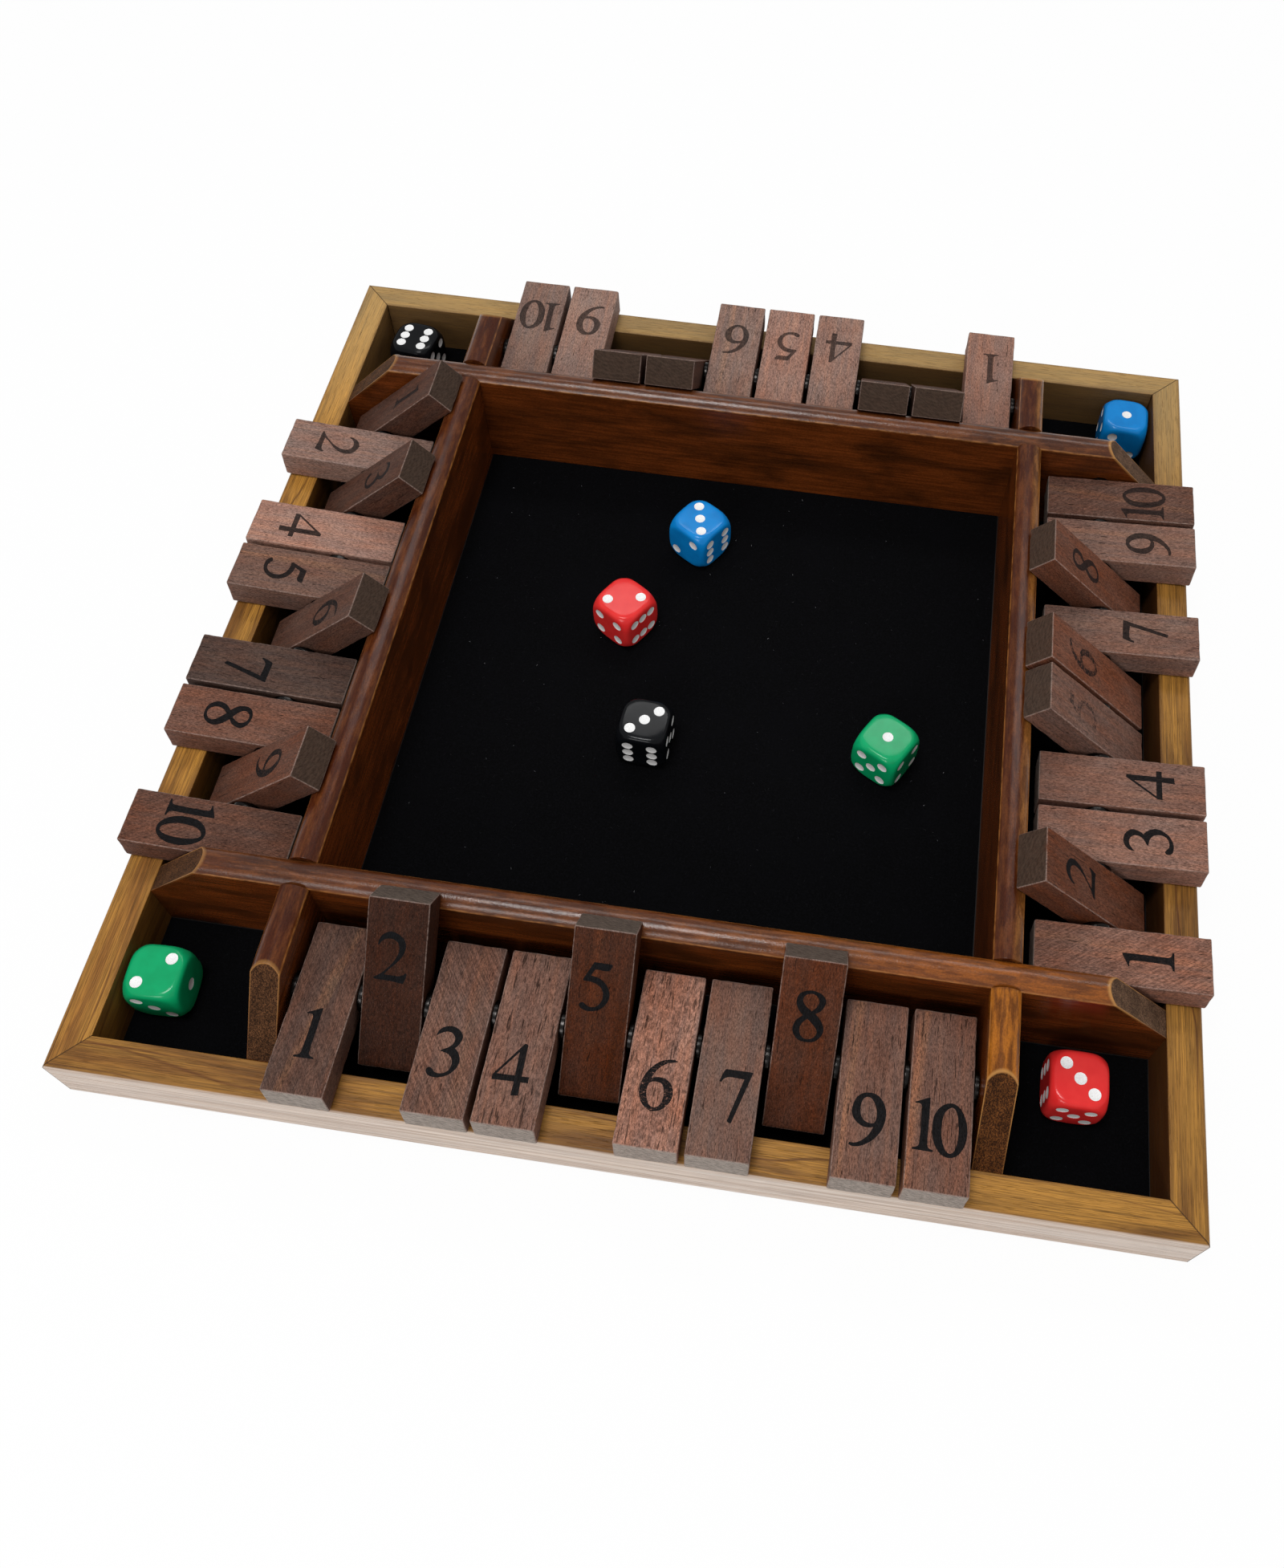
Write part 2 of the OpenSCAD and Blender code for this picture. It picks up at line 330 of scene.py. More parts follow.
box = {
    "half": 152.5, "inner": 142.5, "railTop": 20.4, "outerEdge": 1.2, "innerEdge": 0.3,
    "underEdge": 0.2, "railParts": 48,
    "wallLine": 96.0, "wallThick": 8.0,
    "foot": 2.0, "waist": 20.0, "shoulder": 38.0, "wallTop": 40.2,  # heights along the walls
    "slope": 162.7,  # height plus distance from the middle, along the cut ends of the walls
    "wallEdge": 0.22, "crownParts": 18, "ripple": 0.06, "step": 1.5,
    "feltTop": 2.6, "feltGap": 0.3,
}


# The pale pair for the outer sides is painted glare, for the strong light that the sides catch
oak = {
    "wood": ("B27E34", "7C501E"), "paleBack": "B49C6C", "ring": "50290D", "sweep": "5E3410",
    "pores": "4A2C10", "inside": "66421D", "brim": "44240F", "arris": "7C5628",
    "paintedGlare": ("C8AF9C", "EADCD0"), "mitre": "3A2410", "gloss": 0.25, "relief": 0.06,
}


# Oak of the frame. turned is True where the rail runs along Y.
def makeOak(turned):
    finish = Finish("goldenOakY" if turned else "goldenOakX")
    x, y, z = finish.place().split()
    along, across = (y, x) if turned else (x, y)
    grain = finish.join(along, across, z)
    broad = grain.noise((0.02, 0.12, 0.12), 3, 0.55, 0.6)
    lines = grain.noise((0.012, 1.3, 1.3), 4, 0.7)
    fine = grain.noise((0.06, 4.2, 4.2), 3, 0.7)
    pores = grain.noise((0.14, 4.6, 4.6), 2, 0.6).ramp(0.58, 0.66)
    colour = broad.ramp(0.33, 0.68).between(*oak["wood"])
    # The left rail is lighter than the right one, and the frame is paler towards the back
    colour = colour.scale(1.2 - x.ramp(-100.0, 100.0) * 0.35 if turned else 0.93)
    colour = colour.scale(0.74 + lines.ramp(0.36, 0.6) * 0.36)
    colour = colour.scale(0.72 + fine.ramp(0.38, 0.6) * 0.44)
    colour = colour.blend(oak["paleBack"], y.ramp(50.0, 150.0) * 0.5)
    # Growth rings run along the front half of the frame here and there as brown lines
    wander = grain.noise((0.011, 0.03, 0.03), 3, 0.4)
    rings = (across * 0.12 + wander * 3.2 + z * 0.07).math("FRACT")
    ring = 1 - abs(rings - 0.5).ramp(0.0, 0.05)
    here = grain.noise((0.016, 0.02, 0.02), 1, 0.5).ramp(0.46, 0.54)
    colour = colour.blend(oak["ring"], ring * here * y.ramp(80.0, 40.0) * 0.75)
    # One more sweeps across the left part of the front rail
    if not turned:
        sweep = abs(y + 144.0 + x.ramp(-142.0, -94.0) * 6.0 - (wander - 0.5) * 5.0)
        sweep = (1 - sweep.ramp(0.1, 0.55)) * x.ramp(-86.0, -92.0)
        colour = colour.blend(oak["sweep"], sweep * 0.65)
    colour = colour.blend(oak["pores"], pores * 0.35)
    # Darker brown along the inner edge and on the inner faces, heavier on the right rail, and
    # darker along the outer arris
    inside = 1 - abs(across).ramp(box["inner"] + 0.1, box["inner"] + 1.5)
    colour = colour.blend(oak["inside"], inside * 0.4)
    brim = 1 - abs(across).ramp(box["inner"] + 0.02, box["inner"] + 0.2)
    stained = x.ramp(0.0, 100.0) * 0.4 + 0.4 if turned else 0.42
    colour = colour.blend(oak["brim"], brim * stained)
    arris = abs(across).ramp(box["half"] - 1.6, box["half"] - 0.7) * z.ramp(18.5, 19.6)
    colour = colour.blend(oak["arris"], arris * 0.45)
    # The outer sides are painted pale, a painted glare that stands for the strong light and floor
    # reflection they catch, and the mitres show as dark joints
    side = abs(across).ramp(box["half"] - 0.5, box["half"] - 0.05)
    paintedGlare = lines.ramp(0.38, 0.6).between(*oak["paintedGlare"])
    paintedGlare = paintedGlare.scale(0.9 + fine.ramp(0.4, 0.6) * 0.16)
    colour = colour.blend(paintedGlare, side * 0.85)
    mitre = 1 - abs(abs(x) - abs(y)).ramp(0.08, 0.28)
    colour = colour.blend(oak["mitre"], mitre * 0.85)
    height = lines * 0.5 + fine * 0.6 - pores * 0.8 - mitre * 2.0
    return finish.surface(
        Base_Color=colour, Roughness=0.42 + fine * 0.2 - broad * 0.06,
        Specular_IOR_Level=oak["gloss"], Normal=finish.bump(height, oak["relief"]))


# Colours in pairs are for the walls along X and then for those along Y
stain = {
    "varnish": ("6A3312", "42200B"), "crown": ("40200F", "3E190A"), "worn": "7E4822",
    "amber": ("985418", "A8641C"), "rubbed": "A06A30", "shoulder": "B87A40", "lip": "BE8A4C",
    "leftEnd": ("2C1A0E", "6C472C"), "rightDark": ("463226", "2A160A"),
    "rightPale": ("7A5E48", "754620"), "rim": "B07C44", "gloss": (0.4, 0.22), "relief": 0.045,
}


def crownRadius():
    half, rise = box["wallThick"] / 2, box["wallTop"] - box["shoulder"]
    return (half * half + rise * rise) / (2 * rise)


# Red-brown varnish of the inner walls and dividers. cut is True for their duller sawn ends.
def makeStain(turned, cut):
    finish = Finish(("sawnEnd" if cut else "stainedWall") + ("Y" if turned else "X"))
    x, y, z = finish.place().split()
    along, across = (y, x) if turned else (x, y)
    grain = finish.join(along, across, z)
    offset = abs(abs(across) - box["wallLine"])
    cloud = grain.noise((0.03, 0.1, 0.1), 3, 0.6, 0.5)
    lines = grain.noise((0.05, 1.1, 1.1), 4, 0.65, 0.4)
    speck = grain.noise((1.4, 3.2, 3.2), 3, 0.7)
    colour = cloud.ramp(0.33, 0.7).between(*stain["varnish"])
    # The crown is darker and worn in patches, and is amber on the front right divider
    crown = z.ramp(37.4, 38.3)
    wear = grain.noise((0.09, 0.45, 0.45), 3, 0.65)
    colour = colour.blend(stain["crown"][turned], crown * (0.85 if turned else 0.6))
    worn = crown * wear.ramp(0.4, 0.66) * (0.4 if turned else 0.55)
    colour = colour.blend(stain["worn"], worn)
    if turned:
        amber = along.ramp(-99.0, -101.0) * x.ramp(-20.0, 20.0) * z.ramp(34.0, 37.0)
        share = amber * (0.3 + wear.ramp(0.4, 0.62) * 0.6)
        colour = colour.blend(stain["amber"][turned], share)
        palerShare = (across - box["wallLine"]).ramp(0.5, 2.5) * crown * (1 - amber)
        colour = colour.blend(stain["rubbed"], palerShare * (0.2 + wear.ramp(0.4, 0.6) * 0.35))
    else:
        amber = x.ramp(-40.0, 120.0) * y.ramp(60.0, -60.0) * crown
        share = amber * (0.3 + wear.ramp(0.4, 0.62) * 0.45)
        colour = colour.blend(stain["amber"][turned], share)
    colour = colour.scale(1 + (lines.ramp(0.38, 0.62) - 0.5) * (0.46 - crown * 0.24))
    colour = colour.scale(0.84 + speck.ramp(0.4, 0.6) * 0.3)
    shoulder = offset.ramp(3.62, 3.9) * z.ramp(37.4, 37.9)
    shoulder = shoulder * (0.2 + grain.noise((0.25, 1, 1), 3, 0.6).ramp(0.38, 0.6) * 0.8)
    colour = colour.blend(stain["shoulder"], shoulder * 0.6)
    if not cut:
        lip = (1 - (box["slope"] - abs(along) - z).ramp(0.2, 1.2)) * z.ramp(24.0, 36.0)
        colour = colour.blend(stain["lip"], lip * (0.35 + x.ramp(-20.0, 20.0) * 0.35))
        ripple = grain.noise(1.9, 2, 0.6)
        return finish.surface(
            Base_Color=colour, Roughness=0.15 + speck * 0.12,
            Specular_IOR_Level=stain["gloss"][turned],
            Normal=finish.bump(ripple + speck * 0.4, stain["relief"]))
    # Speckled end grain inside an amber rim
    speckled = finish.join(along, across * 1.6, z).noise(2.0, 4, 0.8)
    broad = grain.noise((0.12, 0.3, 0.3), 3, 0.6).ramp(0.4, 0.62)
    right = x.ramp(-20.0, 20.0)
    leftDark, leftPale = stain["leftEnd"]
    dark = right.between(leftDark, stain["rightDark"][turned])
    pale = right.between(leftPale, stain["rightPale"][turned])
    ends = dark.blend(pale, speckled.ramp(0.42, 0.64)).scale(0.75 + broad * 0.4)
    radius = crownRadius()
    rise = (z - (box["wallTop"] - radius)).math("MAXIMUM", 0.0)
    depth = radius - (offset * offset + rise * rise).math("SQRT")
    depth = depth.math("MINIMUM", box["wallThick"] / 2 - offset)
    rim = (1 - depth.ramp(0.1, 0.4)) * (z.ramp(22.0, 33.0) * 0.55 + 0.25)
    return finish.surface(
        Base_Color=ends.blend(stain["rim"], rim), Roughness=0.6 + speckled * 0.15,
        Specular_IOR_Level=0.08, Normal=finish.bump(speckled, 0.15))


plain = {
    "board": ("8E6238", "6B4525"), "boardLines": "4F321B", "boardTop": "0B0807",
    "felt": ("040405", "0B0B0E"), "feltClouds": "08080B", "steel": ("2E2C2B", "1B1A19"),
}


def makeBoard():
    finish = Finish("plainBoard")
    place = finish.place()
    grain = place.noise((0.02, 0.7, 0.7), 4, 0.6, 0.4)
    fine = place.noise((0.2, 4.0, 4.0), 3, 0.6)
    colour = grain.ramp(0.35, 0.7).between(*plain["board"])
    colour = colour.blend(plain["boardLines"], fine.ramp(0.5, 0.72) * 0.4)
    colour = colour.blend(plain["boardTop"], place.split()[2].ramp(1.0, 1.6))
    return finish.surface(
        Base_Color=colour, Roughness=0.55 + fine * 0.2, Normal=finish.bump(fine, 0.05))


def makeFelt():
    finish = Finish("blackFelt")
    place = finish.place()
    cloud = place.noise(0.05, 3, 0.6)
    nap = place.noise(1.6, 4, 0.75, 0.3)
    colour = nap.ramp(0.4, 0.7).between(*plain["felt"])
    colour = colour.blend(plain["feltClouds"], cloud.ramp(0.45, 0.7) * 0.4)
    return finish.surface(
        Base_Color=colour, Roughness=0.92, Specular_IOR_Level=0.06, Normal=finish.bump(nap, 0.3))


def makeSteel():
    finish = Finish("brightSteel")
    place = finish.place()
    brushed = place.noise(3.0, 3, 0.6)
    spots = place.noise(0.25, 3, 0.6)
    # The steel is painted dark, partly painted shade, so that the washers stay as dim as in their
    # shaded gaps between the tiles
    colour = spots.ramp(0.45, 0.7).between(*plain["steel"])
    return finish.surface(
        Base_Color=colour, Metallic=1.0, Roughness=0.14 + brushed * 0.16,
        Normal=finish.bump(brushed, 0.01))


# Points along part of a circle, by angles in degrees
def arc(radius, first, last, parts, centre):
    return [(centre[0] + radius * math.cos(a), centre[1] + radius * math.sin(a)) for a in
            (math.radians(first + (last - first) * k / parts) for k in range(parts + 1))]


def addRail(side, material):
    half, inner, top = box["half"], box["inner"], box["railTop"]
    wide, small, under = box["outerEdge"], box["innerEdge"], box["underEdge"]
    outline = [(inner, 0), (half - under, 0), (half, under)]
    outline += arc(wide, 0, 90, 8, (half - wide, top - wide))
    outline += arc(small, 90, 180, 4, (inner + small, top - small))
    parts = box["railParts"]
    rings = [[(v * (2 * k / parts - 1), -v, z) for v, z in outline] for k in range(parts + 1)]
    turn = Matrix.Rotation(math.radians(banks[side]), 4, "Z")
    piece = smooth(pieceFrom(loft(rings), side + "Rail", [material], turn))
    dress(piece, "box", "oak_frame", side + "_rail")


# A wall along X from first to last, with the ends past the slope cut off at 45 degrees
def wallShape(first, last, seed):
    half, foot, waist, radius = box["wallThick"] / 2, box["foot"], box["waist"], crownRadius()
    spread = math.degrees(math.asin(half / radius))
    crown = arc(radius, 90 - spread, 90 + spread, box["crownParts"], (0, box["wallTop"] - radius))
    outline = [(-half, foot), (half, foot), (half, waist)] + crown + [(-half, waist)]
    count = max(4, round((last - first) / box["step"]))
    rings = []
    for k in range(count + 1):
        u = first + (last - first) * k / count
        ring = []
        for c, z in outline:
            lift = noise.noise((u * 0.11, c * 0.35, seed))
            lift += 0.5 * noise.noise((u * 0.35, c, seed + 9.0))
            ring.append((u, c, z + box["ripple"] * lift * (z > waist)))
        rings.append(ring)
    build = loft(rings)
    for sign in (-1, 1):
        if max(-first if sign < 0 else last, 0) > box["slope"] - box["wallTop"]:
            bmesh.ops.bisect_plane(
                build, geom=build.verts[:] + build.edges[:] + build.faces[:], dist=0.0005,
                plane_co=(sign * box["slope"], 0, 0), plane_no=(sign, 0, 1), clear_outer=True)
            bmesh.ops.holes_fill(build, edges=[e for e in build.edges if e.is_boundary], sides=0)
    bmesh.ops.recalc_face_normals(build, faces=build.faces)
    for face in build.faces:
        face.material_index = int(0.6 < abs(face.normal.x) < 0.8)  # the sawn ends
    build.normal_update()
    sharp = [edge for edge in build.edges
             if len(edge.link_faces) == 2 and edge.calc_face_angle() > math.radians(25)]
    bmesh.ops.bevel(build, geom=sharp, offset=box["wallEdge"], segments=2, profile=0.5,
                    affect="EDGES", clamp_overlap=True)
    return build


# One bmesh from several, each with its own move
def joined(shapes):
    whole = bmesh.new()
    for shape, move in shapes:
        shape.transform(move)
        part = bpy.data.meshes.new("part")
        shape.to_mesh(part)
        shape.free()
        whole.from_mesh(part)
        bpy.data.meshes.remove(part)
    return whole


def addWalls():
    stainX, stainY = ([makeStain(turned, False), makeStain(turned, True)]
                      for turned in (False, True))
    line, inner, near = box["wallLine"], box["inner"], box["wallThick"] / 2

    def moved(x, y, turn):
        return Matrix.Translation((x, y, 0)) @ Matrix.Rotation(math.radians(turn), 4, "Z")

    for name, sign, seed in (("front", -1, 3.0), ("back", 1, 14.0)):
        shape = wallShape(-inner, inner, seed)
        wall = pieceFrom(shape, name + "Wall", stainX, moved(0, sign * line, 0))
        dress(smooth(wall), "box", "stained_wall", name + "_wall")
    sides = joined((wallShape(near - line, line - near, 20.0 + sign), moved(sign * line, 0, 90))
                   for sign in (-1, 1))
    dress(smooth(pieceFrom(sides, "sideWalls", stainY)), "box", "stained_wall", "side_walls")
    short = joined((wallShape(line + near, inner, 30.0 + across * 3 + sign),
                    moved(across * line, 0, sign * 90)) for across in (-1, 1) for sign in (-1, 1))
    dress(smooth(pieceFrom(short, "cornerDividers", stainY)), "box", "stained_wall", "dividers")


oaks = [makeOak(False), makeOak(True)]
for side, turn in banks.items():
    addRail(side, oaks[turn // 90 % 2])
addWalls()
coat("base_panel", makeBoard())
coat("felt_lining", makeFelt())
print("frame, walls and felt ready")


tiles = {
    "width": 16.596, "length": 48.0, "thickness": 9.8, "edge": 0.5, "bore": 4.12,
    "middle": -6.5,  # from the rod to the middle of the length
    "pitch": 18.236, "reach": 122.3, "height": 24.2,  # the places of the rods
    "lie": 3.5687, "lean": 136.8136,  # angles of lying and standing tiles
    "standing": {
        "front": (2, 5, 8), "right": (2, 5, 6, 8), "back": (2, 3, 7, 8), "left": (1, 3, 6, 9)},
    "numberSize": 1.017, "lyingBase": -20.6, "standingBase": -7.6, "tenPlaces": (-4.06, 2.38),
    "inkDepth": 0.05, "inkRise": 0.02,
    "printSpread": (0.3, 0.35, 0.7),  # of the numbers across and along, and of their tilt
    "cutStep": 1.6, "edgeWear": 0.12,
    # The share of painted light on the ends of standing tiles; lying tiles get all of it
    "endLight": {"front": 0.22, "right": 0.02, "back": 0.0, "left": 0.02},  # on standing tiles
}
washers = {"across": 8.6, "hole": 4.12, "thick": 1.14, "eased": 0.16, "perRod": 11, "facets": 40}

# How light and how warm the wood is (on standing tiles the low lightness is partly painted shade,
# as they get less light from above), wear of the ink, then one streak: place, slant and strength.
# Values that a tile leaves out are the usual ones.
usualLook = (.16, .5, .3, 0, 0, 0)
tileLooks = {
    "front": [(.1, .4, .25, 0, .16, .9), (.04, .9, .2), (.14, .4, .35, 4, -.05, .3),
              (.18, .4, .35), (.06, 1.1, .25, -1.5, 0, .6), (.28, .5, .55), (.16, .3, .25),
              (.08, 1, .2), (.16, .4, .3, -5.5, .05, .8), (.16, .5, .25, -6.5, .06, .8)],
    "right": [(.22, .5, .35, 2, .1, .3), (.12, .9, .25), (.24, .4, .35), (.2, .4), (.16, .4, .85),
              (.16, .8, .7), (.18, .3), (.14, .8), (.2, .3, .3, 3, 0, .3),
              (.12, .5, .35, 0, .14, .6)],
    "back": [(.28, .3, .35), (.08, .5), (.08, .5), (.28, .2), (.32, .3, .35),
             (.24, .1, .3, 3, 0, .4), (.08, .5), (.08, .5), (.28, .1), (.22, .1)],
    "left": [(.08, .6), (.26, .1), (.08, .6), (.34, .3, .35), (.16, .3, .3, -4, .02, .6),
             (.1, .5, .6), (.08, .2), (.16, .6), (.12, .7, .6), (.12, .6)],
}

# Coarse mottling, cracks and slanting sanding marks of the tiles that differ from the usual
usualGrain = (.15, .15, .2)
tileGrain = {
    "front2": (.7, .1, .2), "front5": (.5, .1, .1), "front8": (.5, .1, 0),
    "front1": (0, .2, .7), "front3": (.1, .1, 1), "front4": (.4, .9, .2), "front6": (1, .9, 0),
    "front9": (.1, .5, 0), "front10": (.2, .8, 0), "right1": (.1, .2, .9), "right3": (.4, .1, .2),
    "right10": (.1, .1, .6), "left10": (.1, .1, .7), "left4": (.3, .2, 0), "left8": (.2, 0, .3),
}
# How far the numbers of these tiles sit off the middle
numberShift = {"front1": .1, "front2": -1, "front3": -.4, "front4": -.7, "front5": -1.1,
               "front6": .3, "front7": 1.2, "front8": .25, "front9": 0, "front10": 0}

# Outlines of the digits in millimetres. A third value marks a sharp corner.
digitShapes = {
    "0": [[(.2, 13.1), (2.3, 12.07), (3.9, 9.17), (4.38, 6.17), (3.9, 2.77), (2.2, .07),
         (0, -.76), (-2.2, .17), (-3.9, 2.97), (-4.38, 6.47), (-3.95, 9.67), (-2.2, 12.17)],
        [(.3, 12.02), (1.5, 10.77), (2.1, 7.67), (2.2, 4.67), (1.6, 1.47), (.4, .32), (-.9, 1.27),
         (-1.9, 4.17), (-2.05, 7.17), (-1.5, 10.37)]],
    "1": [[(.95, 13.65, 1), (1.05, 7), (1.05, 2.2), (1.35, .95), (2.62, .4, 1), (2.6, 0, 1),
         (-2.6, -.05, 1), (-2.65, .38, 1), (-1.3, .9), (-.95, 2), (-.95, 10.6), (-1.2, 11.55),
         (-1.8, 11.78), (-2.8, 11.72, 1), (-2.75, 12.02, 1), (-1, 12.85), (.4, 13.55)]],
    "2": [[(-3.7, 9.9, 1), (-3.43, 11.23), (-2.53, 12.73), (-.53, 13.83), (1.63, 13.3),
         (3.13, 12.07), (3.7, 10.4), (3.47, 8.73), (2.63, 6.9), (1.13, 5.07), (-.2, 3.73),
         (-1.7, 1.9, 1), (2.3, 1.9), (3.47, 2.4), (3.97, 2.9), (4.37, 2.73, 1), (4.03, 1.23),
         (3.47, -.1, 1), (.6, .23), (-4.2, .4, 1), (-4.43, .83, 1), (-2.7, 1.97), (-1.03, 3.57),
         (.47, 5.4), (1.63, 7.57), (1.97, 9.57), (1.47, 11.07), (.13, 11.83), (-1.37, 11.73),
         (-2.7, 10.9), (-3.3, 9.9, 1)]],
    "3": [[(-3.72, 10.4, 1), (-3.27, 12.07), (-2.06, 13.1), (-.5, 13.53), (1.4, 13.1),
         (2.8, 11.9), (3.2, 10.7), (2.62, 8.8), (1.86, 7.85, 1), (2.8, 7.05), (3.66, 5.66),
         (3.9, 4.1), (3.3, 2.37), (1.93, .8), (.02, -.13), (-1.7, -.33), (-3.27, .11),
         (-3.86, .98), (-3.8, 1.74), (-3.27, 2.1), (-2.6, 1.85), (-1.7, 1.05), (-.5, .84),
         (.89, 1.22), (1.82, 2.2), (2.1, 3.58), (1.75, 4.97), (.7, 6), (-.5, 6.46),
         (-1.71, 6.6, 1), (-1.37, 7.05, 1), (.2, 7.9), (1.13, 8.95), (1.34, 10), (.99, 11.03),
         (.02, 11.8), (-1.37, 11.9), (-2.75, 11.2)]],
    "4": [[(1.88, 12.7, 1), (2.75, 12.49, 1), (2.8, 4.1, 1), (4.69, 4.1, 1), (4.69, 2.54, 1),
         (2.8, 2.54, 1), (2.92, -.92, 1), (1, -1.1, 1), (1.07, 2.54, 1), (-4.64, 2.44, 1),
         (-4.64, 3.75, 1)],
        [(.94, 10.3, 1), (1.07, 4.1, 1), (-3.67, 4.1, 1)]],
    "5": [[(-1.1, 13.33, 1), (3.67, 13.33, 1), (3.57, 12.57), (2.9, 11.57), (1.73, 11.33),
         (-.43, 11.4), (-.93, 10.9), (-1.6, 9.57, 1), (.4, 9.23), (2.23, 8.07), (3.4, 6.23),
         (3.73, 4.4), (3.07, 2.4), (1.4, .57), (-.93, -.17), (-2.93, .13), (-3.83, 1),
         (-3.7, 1.73), (-2.93, 2), (-2.1, 1.47), (-.93, 1), (.57, 1.4), (1.73, 2.9), (2, 4.73),
         (1.57, 6.23), (.23, 7.4), (-1.6, 7.9), (-3.27, 7.9, 1), (-3.6, 8.23, 1)]],
    "6": [[(3.13, 13.8), (4.17, 13.4, 1), (2.78, 12.94), (1.05, 12.25), (-.5, 10.86),
         (-1.44, 9.3), (-1.79, 8.26, 1), (-.33, 8.68), (1.4, 8.6), (3.13, 7.57), (4.1, 5.83),
         (4.24, 4.1), (3.65, 2.37), (2.1, .57), (0, -.2), (-1.9, .36), (-3.63, 2.2),
         (-4.32, 4.45), (-4.25, 6.7), (-3.63, 8.78), (-2.41, 10.86), (-.68, 12.6), (1.05, 13.46)],
        [(-.33, 7.4), (1.05, 7.05), (1.8, 5.5), (2, 3.75), (1.4, 1.67), (.2, .81), (-1.2, 1.33),
         (-2.07, 3.06), (-2.48, 5.14), (-2.17, 6.7), (-1.37, 7.3)]],
    "7": [[(-1.98, 13.33, 1), (4.85, 13.33, 1), (4.78, 12.83, 1), (1.02, -.17, 1), (.78, -.43),
         (-.15, 0, 1), (.02, .67), (2.85, 11.23, 1), (-1.15, 11.33), (-2.32, 10.67),
         (-2.82, 9.83, 1), (-3.42, 9.9, 1), (-2.98, 11.33), (-2.32, 13)]],
    "8": [[(-.18, 13.83), (2.05, 13.3), (3.45, 11.9), (3.45, 10.57), (2.72, 8.9), (1.32, 7.73, 1),
         (3.05, 5.9), (3.95, 3.73), (3.38, 1.73), (1.88, .23), (-.12, -.17), (-2.28, .23),
         (-3.62, 1.73), (-3.95, 3.4), (-3.28, 5.4), (-1.78, 6.9, 1), (-3.28, 8.57),
         (-3.88, 10.57), (-3.45, 12.4), (-1.95, 13.5)],
        [(-.18, 12.97), (1.22, 12.4), (1.88, 11.07), (1.38, 9.57), (.32, 8.3, 1), (-1.45, 9.57),
         (-2.28, 11.07), (-1.68, 12.4)],
        [(-.55, 6.17, 1), (1.05, 4.73), (2.22, 3.23), (1.88, 1.57), (.05, .63), (-1.55, 1.3),
         (-2.18, 3.23), (-1.68, 4.9)]],
    "9": [[(-.37, 12.57), (1.63, 12.33), (3.3, 10.83), (4.23, 8.67), (4.3, 6.33), (3.63, 3.67),
         (2.3, 1.5), (.3, -.33), (-1.7, -1.33), (-3.37, -1.57), (-4.3, -1.23, 1), (-4.2, -.67, 1),
         (-2.7, -.57), (-1.03, .33), (.63, 2.17), (1.47, 4, 1), (.3, 3.67), (-1.2, 3.77),
         (-3.03, 4.83), (-4.1, 6.5), (-4.2, 8.17), (-3.53, 10.5), (-2.2, 12)],
        [(-.2, 11.43), (1.13, 10.33), (1.9, 8.33), (1.97, 6.17), (1.47, 5), (.3, 4.83),
         (-1.2, 5.5), (-2.03, 7.17), (-2.1, 9), (-1.53, 10.83)]],
}


# The pale one of the two end colours is painted light
walnut = {
    "dust": "B09A90", "cracks": "1C100B", "ends": ("3C2F26", "968C83"), "rubbed": "A48E84",
    "ink": ("060607", "15171A"), "gloss": 0.08, "relief": 0.08,
    "ringCentre": -14.0,  # height of the growth rings' middle on the ends
}


